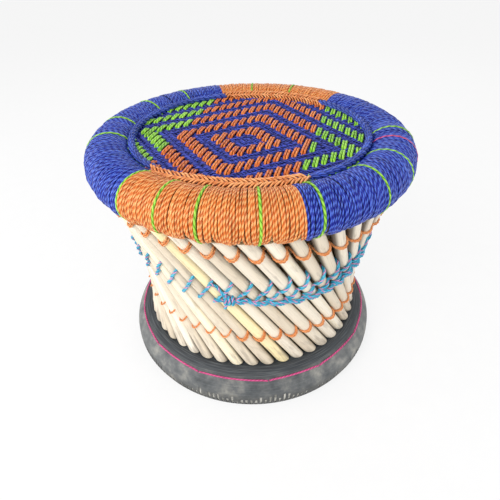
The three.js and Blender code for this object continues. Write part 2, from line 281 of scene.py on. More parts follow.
# Twisted plies: their rounds' height, the grooves between them, and the flanks that face other strands; the
# groove and flank masks carry painted shade
def plyGroup():
    group, start, end = newGroup("twistedPlies", {"Plies": 2.0, "Twist": 0.009, "Shift": 0.0, "Edge": 0.72},
                                 ["Height", "Groove", "Flank"])
    parts = separated(group, start["Vector"])
    turn = addMath(group, "MULTIPLY", parts["X"], start["Plies"])
    along = addMath(group, "DIVIDE", parts["Y"], start["Twist"])
    phase = addMath(group, "ADD", addMath(group, "ADD", turn, along), start["Shift"])
    swell = addMath(group, "ABSOLUTE", addMath(group, "SINE", addMath(group, "MULTIPLY", phase, pi)))
    facing = addMath(group, "COSINE", addMath(group, "MULTIPLY", parts["X"], tau))
    feed(group, end["Height"], addMath(group, "POWER", swell, 0.6))
    feed(group, end["Groove"], addRange(group, swell, 0.62, 0.08))
    feed(group, end["Flank"], addRange(group, facing, start["Edge"], -0.1))
    return group


rolledStrand = rolledGroup()
twistedPlies = plyGroup()


# The rolled-up place of a strand's surface, for a noise that runs along the strand
def rolledPlace(group, start, girth, length):
    inputs = {"Vector": start["Vector"], "Girth": girth, "Length": length, "Shift": start["Shift"]}
    rolled = useGroup(group, rolledStrand, inputs)
    return addNode(group, "ShaderNodeCombineXYZ", {axis: rolled[axis] for axis in "XYZ"}).outputs[0]


def fibreGroup():
    group, start, end = newGroup("fineFibres", {"Girth": 3.0, "Length": 60.0, "Shift": 0.0},
                                 ["Height", "Streak"])
    place = rolledPlace(group, start, start["Girth"], start["Length"])
    feed(group, end["Height"], addNoise(group, place, 3.0, 3.0))
    feed(group, end["Streak"], addNoise(group, place, 0.7, 1.0))
    return group


def reedGrainGroup():
    group, start, end = newGroup("reedGrain", {"Shift": 0.0}, ["Height", "Streak", "Patch"])
    for label, girth, length, detail in (("Height", 14.0, 22.0, 4.0), ("Streak", 4.0, 9.0, 3.0),
                                         ("Patch", 1.3, 26.0, 4.0)):
        feed(group, end[label], addNoise(group, rolledPlace(group, start, girth, length), 1.0, detail))
    return group


fineFibres = fibreGroup()
reedGrain = reedGrainGroup()


# Twine and rope: plies, fibres, a tone for each strand, pale ply crests that are painted highlight, and
# painted shade in the grooves and on the flanks that face other strands
def twineMaterial(name, dark, body, light, twist=0.009, plies=2, roughness=0.42, bump=0.0009, flank=0.75,
                  groove=0.75, edge=0.72, crest=0.7, gloss=0.4):
    material, tree, shader = newMaterial(name)
    place = placeOf(tree, "UV")
    tone = toneOf(tree)
    shift = addMath(tree, "MULTIPLY", tone, 91.7)
    ply = useGroup(tree, twistedPlies,
                   {"Vector": place, "Plies": plies, "Twist": twist, "Shift": shift, "Edge": edge})
    fibre = useGroup(tree, fineFibres, {"Vector": place, "Girth": 1.6, "Length": 60, "Shift": shift})
    level = addMath(tree, "MULTIPLY_ADD", fibre["Streak"], 0.6, addMath(tree, "MULTIPLY", tone, 0.4))
    color = addRamp(tree, level, (0.28, dark), (0.5, body), (0.8, light))
    # Painted highlight: the pale colour is laid on the crests of the plies
    color = addStain(tree, color, addRange(tree, ply["Height"], crest, 1.0), fibre["Height"], tint(*light))
    # Painted shade: the grooves between the plies are darkened
    color = addStain(tree, color, ply["Groove"], groove, tint(*dark))
    # Painted shade: the flanks that face the neighbouring strands are darkened, with the dark colour at 0.28
    # of its light
    color = addStain(tree, color, ply["Flank"], flank, tint(*dark, 0.28))
    relief = addMath(tree, "MULTIPLY_ADD", fibre["Height"], 0.3, ply["Height"])
    rough = addMath(tree, "MULTIPLY_ADD", fibre["Height"], 0.25, roughness - 0.12)
    finishSurface(tree, shader, color, relief, bump, 1.0, rough)
    shader.inputs["Specular IOR Level"].default_value = gloss
    return material


orangeTwine = twineMaterial("orangeTwine", (168, 68, 10), (234, 120, 30), (255, 212, 142),
                            bump=0.0004, flank=0.85, groove=0.35, edge=0.85, twist=-0.008)
cordOrange = twineMaterial("cordOrange", (200, 98, 40), (238, 136, 66), (255, 200, 140),
                           bump=0.0005, flank=0.1, groove=0.3)
plaitOrange = twineMaterial("plaitOrange", (176, 78, 26), (236, 140, 70), (255, 192, 130),
                            bump=0.0005, flank=0.7, groove=0.4)
blueTwine = twineMaterial("blueTwine", (4, 8, 86), (10, 32, 162), (112, 152, 255), roughness=0.3,
                          bump=0.0004, flank=1.0, groove=0.35, edge=0.88, crest=0.8, gloss=0.25, twist=-0.008)
seatBlueTwine = twineMaterial("seatBlueTwine", (6, 10, 70), (28, 38, 146), (86, 106, 230),
                              roughness=0.34, bump=0.0007, flank=1.0, groove=0.6, edge=0.95, gloss=0.3)
braidBlueTwine = twineMaterial("braidBlueTwine", (12, 22, 92), (32, 54, 160), (92, 126, 232),
                               twist=0.006, plies=5, bump=0.0006, flank=0.3)
floatOrange = twineMaterial("floatOrange", (146, 52, 8), (222, 100, 26), (252, 158, 76),
                            bump=0.0006, flank=0.9, groove=0.35, edge=0.85)
floatLime = twineMaterial("floatLime", (70, 124, 8), (124, 202, 28), (186, 240, 92),
                          bump=0.0006, flank=0.7, groove=0.35)
limeTwine = twineMaterial("limeTwine", (84, 140, 14), (140, 208, 40), (190, 240, 100), flank=0.5)
redTwine = twineMaterial("redTwine", (150, 24, 60), (222, 44, 96), (248, 110, 146), flank=0.5)
cyanRope = twineMaterial("cyanRope", (6, 88, 126), (16, 152, 194), (104, 210, 234),
                         twist=0.014, flank=0, groove=0.3)
pinkRope = twineMaterial("pinkRope", (150, 86, 140), (208, 142, 190), (238, 190, 220),
                         twist=0.014, flank=0, groove=0.3)
pinkCord = twineMaterial("pinkCord", (150, 30, 90), (204, 62, 128), (232, 110, 164),
                         twist=0.006, bump=0.0003, flank=0, groove=0.3)


# Strands

def newMesh():
    bm = bmesh.new()
    bm.loops.layers.uv.new("UVMap")
    bm.verts.layers.float.new("tone")
    return bm


# The turn moved by a whole round where that brings it nearer to the way that its face looks
def besideFacing(turn, facing):
    if turn - facing > pi:
        return turn - tau
    if facing - turn > pi:
        return turn + tau
    return turn


straightTubes = {}


# A tube of unit radius that rises by one for each ring, with its UV: the turn round it and the ring's number
def straightTube(rings, sides):
    if (rings, sides) in straightTubes:
        return straightTubes[rings, sides]
    bm = newMesh()
    bmesh.ops.create_cone(bm, cap_ends=True, segments=sides, radius1=1, radius2=1, depth=rings - 1)
    bmesh.ops.translate(bm, verts=bm.verts, vec=upward * ((rings - 1) / 2))
    if rings > 2:
        uprights = [edge for edge in bm.edges if abs(edge.verts[0].co.z - edge.verts[1].co.z) > 0.5]
        bmesh.ops.subdivide_edges(bm, edges=uprights, cuts=rings - 2, use_grid_fill=True)
    uv = bm.loops.layers.uv.verify()
    for face in bm.faces:
        middle = face.calc_center_median()
        facing = atan2(middle.y, middle.x)
        face.smooth = abs(face.normal.z) < 0.5
        for loop in face.loops:
            corner = loop.vert.co
            loop[uv].uv = (besideFacing(atan2(corner.y, corner.x), facing) / tau, round(corner.z))
    straightTubes[rings, sides] = meshFrom("straightTube", bm)
    return straightTubes[rings, sides]


def ringMatrix(middle, *ways):
    matrix = Matrix(ways).transposed().to_4x4()
    matrix.translation = middle
    return matrix


# Sets a straight tube along ring matrices, at the given lengths along it
def layRings(bm, matrices, lengths, sides, tone, slot=0):
    firstVertex, firstFace = len(bm.verts), len(bm.faces)
    bm.from_mesh(straightTube(len(matrices), sides))
    bm.verts.ensure_lookup_table()
    bm.faces.ensure_lookup_table()
    uv = bm.loops.layers.uv.verify()
    shade = bm.verts.layers.float["tone"]
    for vertex in bm.verts[firstVertex:]:
        ring = matrices[round(vertex.co.z)]
        vertex.co = ring @ Vector((vertex.co.x, vertex.co.y, 0))
        vertex[shade] = tone
    for face in bm.faces[firstFace:]:
        face.material_index = slot
        for loop in face.loops:
            spot = loop[uv].uv
            loop[uv].uv = (spot.x, lengths[round(spot.y)])


def lengthsAlong(points):
    lengths = [0]
    for before, after in zip(points, points[1:]):
        lengths.append(lengths[-1] + (after - before).length)
    return lengths


# For each point of a path: the way out, the way across and the way along. The ways out are given, one for
# each point or one for all, or else they turn as little as they can.
def pathFrames(points, outwards=None):
    if isinstance(outwards, Vector):
        outwards = [outwards] * len(points)
    frames = []
    out = None
    for i in range(len(points)):
        along = (points[min(i + 1, len(points) - 1)] - points[max(i - 1, 0)]).normalized()
        out = outwards[i] if outwards else out or along.orthogonal()
        out = (out - along * out.dot(along)).normalized()
        frames.append((out, along.cross(out), along))
    return frames


def layStrand(bm, points, radius, sides, tone, slot=0, outwards=None):
    radii = radius if isinstance(radius, list) else [radius] * len(points)
    matrices = [ringMatrix(point, out * size, across * size, along * size)
                for point, (out, across, along), size in zip(points, pathFrames(points, outwards), radii)]
    layRings(bm, matrices, lengthsAlong(points), sides, tone, slot)


# A smooth path through the points, in even steps
def smoothPath(points, step):
    fine = []
    for i in range(len(points) - 1):
        before, start = points[max(i - 1, 0)], points[i]
        end, after = points[i + 1], points[min(i + 2, len(points) - 1)]
        cuts = max(2, ceil((end - start).length / step * 2))
        for share in shares(cuts)[:-1]:
            fine.append(0.5 * (2 * start + (end - before) * share
                               + (2 * before - 5 * start + 4 * end - after) * share ** 2
                               + (3 * start - before - 3 * end + after) * share ** 3))
    return evenPath(fine + [points[-1]], step)


def evenPath(points, step):
    lengths = lengthsAlong(points)
    count = max(2, round(lengths[-1] / step))
    even = []
    place = 0
    for i in range(count + 1):
        length = lengths[-1] * i / count
        while place < len(points) - 2 and lengths[place + 1] < length:
            place += 1
        share = (length - lengths[place]) / max(1e-9, lengths[place + 1] - lengths[place])
        even.append(points[place].lerp(points[place + 1], min(1, share)))
    return even


# The paths of plies that are laid round one line
def plyPaths(points, count, reach, twist, start=0):
    paths = [[] for ply in range(count)]
    for point, length, (out, across, along) in zip(points, lengthsAlong(points), pathFrames(points)):
        for ply, path in enumerate(paths):
            angle = tau * (length / twist + ply / count) + start
            path.append(point + (out * cos(angle) + across * sin(angle)) * reach)
    return paths


def makePiece(name, bm, materials, nodes):
    piece = addObject(name, meshFrom(name, bm))
    for material in materials:
        piece.data.materials.append(material)
    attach(piece, "root")
    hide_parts(*nodes)


# Sticks

def reedMaterial(name, stops, dirtAndShade, gloss):
    material, tree, shader = newMaterial(name)
    place = placeOf(tree, "UV")
    tone = toneOf(tree)
    parts = separated(tree, place)
    grain = useGroup(tree, reedGrain, {"Vector": place, "Shift": addMath(tree, "MULTIPLY", tone, 57.3)})
    level = addMath(tree, "MULTIPLY_ADD", tone, 0.8, addMath(tree, "MULTIPLY", grain["Streak"], 0.3))
    color = addRamp(tree, level, *stops)
    color = addStain(tree, color, addRange(tree, grain["Height"], 0.56, 0.72), 0.4, tint(*dirtAndShade))
    nearFoot = addRange(tree, parts["Y"], 0.07, 0.0, high=0.14)
    patch = addRange(tree, addMath(tree, "ADD", grain["Patch"], nearFoot), 0.58, 0.74)
    color = addStain(tree, color, patch, 0.55, tint(*dirtAndShade))
    # Painted shade: the sides of a stick, where it faces the next sticks, are darkened with the dirt colour
    # at 0.3 of its light
    facing = addMath(tree, "SINE", addMath(tree, "MULTIPLY", parts["X"], tau))
    color = addStain(tree, color, addRange(tree, facing, 0.45, -0.1), 0.9, tint(*dirtAndShade, 0.3))
    rough = addMath(tree, "MULTIPLY_ADD", grain["Streak"], 0.3, gloss)
    finishSurface(tree, shader, color, grain["Height"], 0.0006, 0.6, rough)
    return material


peeledReed = reedMaterial("peeledReed", (
    (0.12, (214, 198, 174)), (0.38, (232, 219, 197)), (0.66, (246, 237, 220)), (0.84, (250, 232, 182)),
    (0.98, (246, 218, 146))), (150, 138, 122), 0.34)
# Painted shade: the inner sticks are the same reed in darker colours, for the shadow they stand in behind the
# outer sticks
shadedInnerReed = reedMaterial("shadedInnerReed", (
    (0.1, (126, 100, 70)), (0.5, (158, 132, 96)), (0.9, (180, 156, 112))), (84, 62, 42), 0.5)

# The foot and the top are rounded: how far in from the end a ring lies, and its share of the full girth
sticks = {
    "sides": 20,
    "innerSides": 12,
    "spread": 0.035,
    "innerSpread": 0.02,
    "step": 0.012,
    "foot": ((0, 0.72), (0.0004, 0.88), (0.0011, 0.96), (0.0022, 1)),
    "top": (0.0015, 0.93),
    "wobble": 0.0005,
    "wobbleRate": 14,
    "swell": 0.03,
    "swellRate": 25,
    "yellow": {1: 0.87, 44: 0.72, 29: 0.8},
}


def layStick(bm, layer, turn, sides, tone, spread):
    radius = stool["stickRadius"] * (1 + rng.uniform(-spread, spread * 0.6))
    length = stool["topHeight"] - stool["footHeight"]
    count = round(length / sticks["step"])
    rings = list(sticks["foot"])
    rings += [(mixed(rings[-1][0], length - sticks["top"][0], share), 1) for share in shares(count)[1:]]
    rings.append((length, sticks["top"][1]))
    seed = rng.uniform(0, 50), rng.uniform(0, 50)
    slant = hypot(1, layer["lean"])
    matrices = []
    for rise, share in rings:
        height = stool["footHeight"] + rise
        drift = uneven(seed[0], seed[1], height * sticks["wobbleRate"]) * sticks["wobble"]
        swell = uneven(seed[0] + 9, seed[1], height * sticks["swellRate"]) * sticks["swell"]
        size = radius * share * (1 + swell)
        matrices.append(ringMatrix(stickMiddle(layer, turn, height) + sidewaysAt(turn) * drift,
                                   sidewaysAt(turn) * size * slant, outwardAt(turn) * size, upward * size))
    firstFace = len(bm.faces)
    layRings(bm, matrices, [rise * slant for rise, share in rings], sides, tone)
    bmesh.ops.reverse_faces(bm, faces=bm.faces[firstFace:])  # the rings mirror the tube, inside out


rng = Random(7)
for k in range(stool["sticks"]):
    bm = newMesh()
    tone = sticks["yellow"].get(k + 1, rng.uniform(0.1, 0.68))
    layStick(bm, outerLayer, firstTurn + k * pitch, sticks["sides"], tone, sticks["spread"])
    makePiece(f"outerStick{k + 1:02d}", bm, [peeledReed], [f"outer_stick_{k + 1:02d}"])
print("outer sticks laid")

waistHoop = {"width": 0.009, "height": 0.014, "bite": 0.002, "rounding": 0.002, "steps": 92}


# A profile of [radius, height] points spun round the stool. Its UV is the turn and the length along it.
def spinProfile(bm, profile, steps, tone=0.5):
    firstFace = len(bm.faces)
    travel = bm.verts.layers.float.get("travel") or bm.verts.layers.float.new("travel")
    shade = bm.verts.layers.float["tone"]
    corners = []
    length = 0
    for i, (radius, height) in enumerate(profile):
        corner = bm.verts.new(around(0, radius, height))
        length += hypot(radius - profile[i - 1][0], height - profile[i - 1][1]) if i else 0
        corner[travel] = length
        corner[shade] = tone
        corners.append(corner)
    edges = [bm.edges.new(ends) for ends in zip(corners, corners[1:] + corners[:1])]
    bmesh.ops.spin(bm, geom=corners + edges, cent=(0, 0, 0), axis=upward, angle=tau, steps=steps,
                   use_merge=True)
    bm.faces.ensure_lookup_table()
    uv = bm.loops.layers.uv.verify()
    for face in bm.faces[firstFace:]:
        face.smooth = True
        middle = face.calc_center_median()
        facing = atan2(middle.x, -middle.y)
        ends = [loop.vert[travel] for loop in face.loops]
        wraps = max(ends) - min(ends) > length / 2
        for loop in face.loops:
            turn = besideFacing(atan2(loop.vert.co.x, -loop.vert.co.y), facing)
            along = loop.vert[travel]
            loop[uv].uv = (turn / tau, along + length if wraps and along == 0 else along)
    bmesh.ops.recalc_face_normals(bm, faces=bm.faces[firstFace:])


# The profile of a box with rounded corners
def roundedBox(inside, outside, bottom, top, rounding):
    points = []
    corners = (outside, bottom, -90), (outside, top, 0), (inside, top, 90), (inside, bottom, 180)
    for radius, height, start in corners:
        middle = (radius - rounding if radius == outside else radius + rounding,
                  height + rounding if height == bottom else height - rounding)
        for angle in (radians(start + i * 30) for i in range(4)):
            points.append((middle[0] + rounding * cos(angle), middle[1] + rounding * sin(angle)))
    return points


bm = newMesh()
for k in range(stool["sticks"]):
    tone = rng.uniform(0.1, 0.9)
    layStick(bm, innerLayer, firstTurn + k * pitch, sticks["innerSides"], tone, sticks["innerSpread"])
hoopOutside = innerWaist - stool["stickRadius"] + waistHoop["bite"]
hoopBottom = stool["waistHeight"] - waistHoop["height"] / 2
hoopInside = hoopOutside - waistHoop["width"]
spinProfile(bm, roundedBox(hoopInside, hoopOutside, hoopBottom, hoopBottom + waistHoop["height"],
                           waistHoop["rounding"]), waistHoop["steps"], 0.7)
makePiece("innerSticks", bm, [shadedInnerReed], ["inner_sticks"])
print("inner sticks laid")

# Base hoop: split canes laid on one another
baseHoop = {
    "width": 0.012,
    "height": 0.013,
    "radius": 0.1382,
    "strips": 3,
    "stripInset": 0.0004,
    "stripGap": 0.0002,
    "rounding": 0.0015,
    "steps": 120,
}
hoopCane = grainMaterial("hoopCane", "UV", (18, 900, 1), 4.0,
                         ((0.3, (86, 44, 28)), (0.52, (136, 76, 48)), (0.72, (176, 112, 74))),
                         0.0008, 0.7, (0.3, 0.45))

bm = newMesh()
inside = baseHoop["radius"] - baseHoop["width"] / 2
stripHeight = baseHoop["height"] / baseHoop["strips"]
for strip in range(baseHoop["strips"]):
    inner = inside + baseHoop["stripInset"] * strip
    outer = inside + baseHoop["width"] - baseHoop["stripInset"] * (baseHoop["strips"] - 1 - strip)
    bottom = stool["footHeight"] + strip * stripHeight
    top = bottom + stripHeight - baseHoop["stripGap"]
    spinProfile(bm, roundedBox(inner, outer, bottom, top, baseHoop["rounding"]), baseHoop["steps"])
makePiece("baseHoop", bm, [hoopCane], ["base_hoop"])
print("base hoop laid")

# Tyre. The edge's points are how far out from the tyre's radius they lie, and their height.
tyre = {
    "steps": 360,
    "edge": ((-0.005, 0), (-0.0025, 0.006), (0, 0.012), (0.0003, 0.018)),
    "treadHeight": 0.024,
    "treadTaper": 0.005,
    "treadThickness": 0.012,
    "wall": 0.008,
    "bead": 0.1262,
    "beadDepth": 0.013,
    "beadThickness": 0.014,
    "bandRadius": 0.199,
    "ridgePitch": 0.0032,
    "ridgeRise": 0.0007,
    "rippleMargin": 0.014,
    "rippleRate": 1600,
    "rippleRise": 0.0004,
    "marks": 180,
    "markHeight": 0.019,
    "markLimit": 0.027,
    "markDepth": 0.0018,
    "markReach": 0.006,
}


def bezier(points, share):
    a, b, c, d = (Vector(point) for point in points)
    rest = 1 - share
    return a * rest ** 3 + b * 3 * rest ** 2 * share + c * 3 * rest * share ** 2 + d * share ** 3


# The sidewall from the tread's shoulder over to the ledge that the sticks stand on
def sidewallPoints(shoulderInset, ledgeInset, count):
    shoulder = tyreRadius - shoulderInset
    ledge = stool["tyreHeight"] - ledgeInset
    tread = tyre["treadHeight"]
    handles = ((shoulder, tread), (shoulder, (tread + stool["tyreHeight"]) / 2),
               (ledgeRadius + stool["shoulderWidth"] / 3, ledge), (ledgeRadius, ledge))
    return [bezier(handles, share) for share in shares(count)]


def sidewallHeight(radius):
    side = sidewallPoints(0, 0, 60)
    for outer, inner in zip(side, side[1:]):
        if outer.x >= radius >= inner.x:
            return mixed(outer.y, inner.y, (outer.x - radius) / max(1e-9, outer.x - inner.x))
    return stool["tyreHeight"]


# The tread's edge, the sidewall with fine rings on its dark band, the rippled ledge, the bead and the inside
def tyreProfile():
    height, bead = stool["tyreHeight"], tyre["bead"]
    beadMiddle = bead + tyre["beadDepth"] / 2
    ridgeWay = Vector((0.2, 0.98))
    points = [Vector((tyreRadius + out, rise)) for out, rise in tyre["edge"]]
    for point in sidewallPoints(0, 0, 30):
        wave = 0.5 + 0.5 * cos((point.x - tyre["bandRadius"]) / tyre["ridgePitch"] * tau)
        points.append(point + ridgeWay * (tyre["ridgeRise"] * wave if point.x < tyre["bandRadius"] else 0))
    for spot in (mixed(ledgeRadius, beadMiddle, share) for share in shares(14)[1:]):
        ripple = tyre["rippleRise"] * cos(spot * tyre["rippleRate"])
        points.append(Vector((spot, height + (ripple if spot > bead + tyre["rippleMargin"] else 0))))
    for angle in (radians(90 + i * 30) for i in range(1, 6)):
        points.append(Vector((beadMiddle + tyre["beadDepth"] / 2 * cos(angle),
                              height - tyre["beadThickness"] / 2 + tyre["beadThickness"] / 2 * sin(angle))))
    points.append(Vector((beadMiddle, height - tyre["beadThickness"])))
    points.append(Vector((bead + tyre["beadDepth"], height - tyre["wall"])))
    points += reversed(sidewallPoints(tyre["treadThickness"], tyre["wall"], 8))
    points.append(Vector((tyreRadius - tyre["treadThickness"] - tyre["treadTaper"], 0)))
    return [(point.x, point.y) for point in points]


# Scuffed dark rubber on the band, dusty grey outside it with more of the grey towards the left and right
# sides, and a darker tread
def tyreMaterial():
    material, tree, shader = newMaterial("tyreRubber")
    place = placeOf(tree, "Object")
    parts = separated(tree, place)
    flat = addNode(tree, "ShaderNodeCombineXYZ", {"X": parts["X"], "Y": parts["Y"]})
    radius = addNode(tree, "ShaderNodeVectorMath", {0: flat.outputs[0]}, operation="LENGTH").outputs["Value"]
    spread = addNode(tree, "ShaderNodeMapping", {"Vector": placeOf(tree, "UV"), "Scale": (26, 700, 1)})
    scuffs = addNoise(tree, spread.outputs[0], 1.0, 5.0)
    clouds = addNoise(tree, place, 42.0, 5.0, roughness=0.6)
    grit = addNoise(tree, place, 420.0, 3.0)
    rubber = addRamp(tree, scuffs, (0.3, (30, 33, 38)), (0.52, (54, 59, 64)), (0.75, (98, 102, 104)))
    dusty = addRamp(tree, clouds, (0.3, (76, 80, 82)), (0.5, (112, 114, 114)), (0.72, (160, 158, 150)))
    # More of the grey towards the left and right sides, and less at the front and back
    sides = addRange(tree, addMath(tree, "ABSOLUTE", parts["X"]), 0.04, 0.19, 0.1, 0.75)
    greyShare = addMath(tree, "MULTIPLY_ADD", clouds, 0.8, sides)
    color = addStain(tree, rubber, addRange(tree, radius, 0.196, 0.204), greyShare, dusty)
    color = addStain(tree, color, addRange(tree, parts["Z"], 0.03, 0.016), 0.55, tint(70, 70, 66))
    relief = addMath(tree, "MULTIPLY", addMath(tree, "ADD", scuffs, grit), 0.5)
    finishSurface(tree, shader, color, relief, 0.001, 0.6, addMath(tree, "MULTIPLY_ADD", clouds, 0.3, 0.5))
    return material


# Tread marks: columns of faces are pushed in from the bottom edge up to uneven heights
def cutTread(bm):
    perMark = tyre["steps"] // tyre["marks"]
    cut = []
    for face in bm.faces:
        middle = face.calc_center_median()
        if hypot(middle.x, middle.y) < tyreRadius - tyre["markReach"] or face.normal.z < -0.7:
            continue
        step = floor((atan2(middle.x, -middle.y) % tau) / tau * tyre["steps"])
        unevenness = 0.7 * uneven(step * 0.43, z=3) + 0.6 * uneven(step * 0.06, 5)
        if step % perMark == 0 and middle.z < min(tyre["markHeight"] * (1 + unevenness), tyre["markLimit"]):
            cut.append(face)
    made = bmesh.ops.extrude_face_region(bm, geom=cut)
    pushed = [item for item in made["geom"] if isinstance(item, bmesh.types.BMFace)]
    for vertex in {vertex for face in pushed for vertex in face.verts}:
        vertex.co -= Vector((vertex.co.x, vertex.co.y, 0)).normalized() * tyre["markDepth"]
    bmesh.ops.delete(bm, geom=cut, context="FACES")
    for face in pushed:
        face.material_index = 1
        face.smooth = False
    bmesh.ops.recalc_face_normals(bm, faces=bm.faces)


tyreRubber = tyreMaterial()
grooveDirt = grainMaterial("grooveDirt", "Object", (90, 90, 90), 5.0,
                           ((0.34, (112, 112, 106)), (0.52, (190, 188, 180)), (0.7, (232, 230, 222))),
                           0.001, 0.6, (0.2, 0.75))
bm = newMesh()
spinProfile(bm, tyreProfile(), tyre["steps"])
cutTread(bm)
makePiece("splitTyre", bm, [tyreRubber, grooveDirt], ["tyre"])
print("tyre shaped")

# Stitching: straight stretches of cord between the holes at these turns
stitching = {
    "holes": (-161, -133, -106, -79, -50.8, -25.2, 6, 30, 56.5, 84, 112, 140, 168),
    "holeRadius": 0.1995,
    "halfHole": 0.25,
    "frontReach": 0.0040,
    "frontTurn": 0.1,
    "pull": 0.0010,
    "dip": 0.0012,
    "radius": 0.0013,
    "step": 0.004,
}

bm = newMesh()
holes = stitching["holes"]
for hole, following in zip(holes, holes[1:] + (holes[0] + 360,)):
    points = []
    for share in shares(12):
        spot = radians(mixed(hole + stitching["halfHole"], following - stitching["halfHole"], share))
        radius = stitching["holeRadius"] + stitching["frontReach"] * cos(spot - stitching["frontTurn"])
        radius -= stitching["pull"] * 4 * share * (1 - share)
        dip = stitching["dip"] if share in (0, 1) else 0
        points.append(around(spot, radius, sidewallHeight(radius) + stitching["radius"] - dip))
    layStrand(bm, smoothPath(points, stitching["step"]), stitching["radius"], 8, rng.uniform(0.3, 0.8))
makePiece("tyreStitching", bm, [pinkCord], ["tyre_stitching"])
print("tyre stitched")

# Lashings round the sticks. A row is how far up the stick it lies, and its first and last stick.
lashing = {
    "reachOut": 0.0109,
    "reachSide": 0.0096,
    "halfArc": 100,
    "inside": 0.0075,
    "sag": 0.0035,
    "plyRadius": 0.00084,
    "plyReach": 0.00076,
    "twist": 0.009,
    "step": 0.0011,
    "upper": {"height": 0.289, "tilt": 0.017, "rows": ((0.0015, -23, 23), (-0.0015, -23, 23))},
    "lower": {"height": 0.1205, "tilt": 0.007, "rows": ((0, -23, 23), (-0.0031, -1, 12))},
}


# An outer stick's middle at a height, and its ways along, outward and across
def stickPlace(k, height):
    turn = firstTurn + k * pitch
    middle = stickMiddle(outerLayer, turn, height)
    along = (upward - sidewaysAt(turn) * stool["lean"]).normalized()
    outward = Vector((middle.x, middle.y, 0)).normalized()
    outward = (outward - along * outward.dot(along)).normalized()
    return middle, along, outward, along.cross(outward)


# Loops of twine round the fronts of the sticks. Between two sticks the twine passes inside.
def lashingPath(height, tilt, shift, first, last):
    points = []
    for k in range(first, last):
        level = height
        for settling in range(4):
            level = height - tilt * sin(firstTurn + k * pitch + leanTurn(outerLayer, level))
        middle, along, outward, across = stickPlace(k, level)
        middle = middle + along * shift
        for angle in (-lashing["halfArc"], -70, -35, 0, 35, 70, lashing["halfArc"]):
            out, side = cos(radians(angle)), sin(radians(angle))
            points.append(middle + outward * (lashing["reachOut"] * out)
                          + across * (lashing["reachSide"] * side)
                          - along * (lashing["sag"] * max(0, out) ** 2))
        between = (middle + stickPlace(k + 1, level)[0]) / 2
        points.append(between - Vector((between.x, between.y, 0)).normalized() * lashing["inside"])
    return points[:-1]


for name in ("upper", "lower"):
    bm = newMesh()
    for shift, first, last in lashing[name]["rows"]:
        path = lashingPath(lashing[name]["height"], lashing[name]["tilt"], shift, first, last)
        path = smoothPath(path, lashing["step"])
        for ply in plyPaths(path, 2, lashing["plyReach"], lashing["twist"], shift * 500):
            layStrand(bm, ply, lashing["plyRadius"], 5, rng.uniform(0.3, 0.75))
    makePiece(f"{name}Lashing", bm, [cordOrange], [f"{name}_lashing"])
print("lashings wound")

# Waist rope. Its stations are turns in degrees and heights: where the stitches start and end, and the run.
waistRope = {
    "top": ((-75, 0.242), (-52, 0.2385), (-25, 0.2325), (-8, 0.2300), (20, 0.2300), (42, 0.2325),
            (62, 0.2365), (90, 0.239), (150, 0.242)),
    "bottom": ((-75, 0.202), (-52, 0.1955), (-25, 0.1905), (-8, 0.1930)),
    "run": ((-11, 0.2015), (-4, 0.199), (8, 0.193), (20, 0.1885), (30, 0.187), (43, 0.188),
            (52, 0.192), (75, 0.198), (110, 0.201), (170, 0.202)),
    "runEnd": 165,
    "runSteps": 115,
    "runSpacing": 0.0018,
    "runLift": 0.0012,
    "runUneven": 0.0006,
    "plyRadius": 0.0013,
    "tracerRadius": 0.00105,
    "plyReach": 0.00125,
    "twist": 0.0125,
    "reach": 0.0022,
    "step": 0.0014,
    "tuck": 0.004,
    "tuckTurn": 0.004,
    "tuckRise": 0.003,
    "bend": 0.0072,
    "hookedBend": 0.0234,
    "hookRise": 0.0045,
}
# The knot: turns round the running rope and two short ends, which are given as ways across, outward and up
knot = {
    "turn": radians(-10),
    "height": 0.2015,
    "lift": 0.002,
    "spacing": 0.0052,
    "slant": 0.0016,
    "halfHeight": 0.0062,
    "depth": 0.0042,
    "windLift": 0.0012,
    "ends": (((-0.006, 0.003, 0), (-0.014, 0.003, -0.001), (-0.021, 0.0015, -0.004)),
             ((0, 0.004, -0.002), (-0.004, 0.004, -0.009), (-0.005, 0.003, -0.014))),
    "riseTurn": radians(-7),
    "riseStart": 0.004,
    "riseTop": 0.229,
}


# How far out a rope lies on the outer sticks
def lyingRadius(turn, height, reach):
    outward = outwardAt(turn)
    best = axisRadius(outerLayer, height) + 0.3 * reach
    nearest = round((turn - firstTurn - leanTurn(outerLayer, height)) / pitch)
    for k in range(nearest - 1, nearest + 2):
        middle, along = stickPlace(k, height)[:2]
        offset = upward * height - middle
        a = 1 - outward.dot(along) ** 2
        b = outward.dot(offset) - outward.dot(along) * offset.dot(along)
        c = offset.length_squared - offset.dot(along) ** 2 - (stool["stickRadius"] + reach) ** 2
        root = b * b - a * c
        if root > 0:
            best = max(best, (-b + root ** 0.5) / a)
    return best


def grooveTurn(k, height):
    return firstTurn + leanTurn(outerLayer, height) + (k + 0.5) * pitch


def ropePoint(turn, height, lift=0.0):
    return around(turn, lyingRadius(turn, height, waistRope["reach"]) + lift, height)


# A point just inside the outer sticks, where a rope's end is out of sight
def tuckedPoint(turn, height, rise=0.0):
    return around(turn, axisRadius(outerLayer, height) - waistRope["tuck"], height + rise)


def stationHeight(stations, turn):
    turn = degrees((turn + pi) % tau - pi)
    for (a, low), (b, high) in zip(stations, stations[1:]):
        if a <= turn <= b:
            return mixed(low, high, eased((turn - a) / (b - a)))
    return stations[0][1] if turn < stations[0][0] else stations[-1][1]


def layRope(bm, points, tone, start):
    path = smoothPath(points, waistRope["step"])
    for ply, line in enumerate(plyPaths(path, 3, waistRope["plyReach"], waistRope["twist"], start)):
        radius = waistRope["tracerRadius"] if ply == 0 else waistRope["plyRadius"]
        layStrand(bm, line, radius, 6, tone + 0.1 * ply, 1 if ply == 0 else 0)


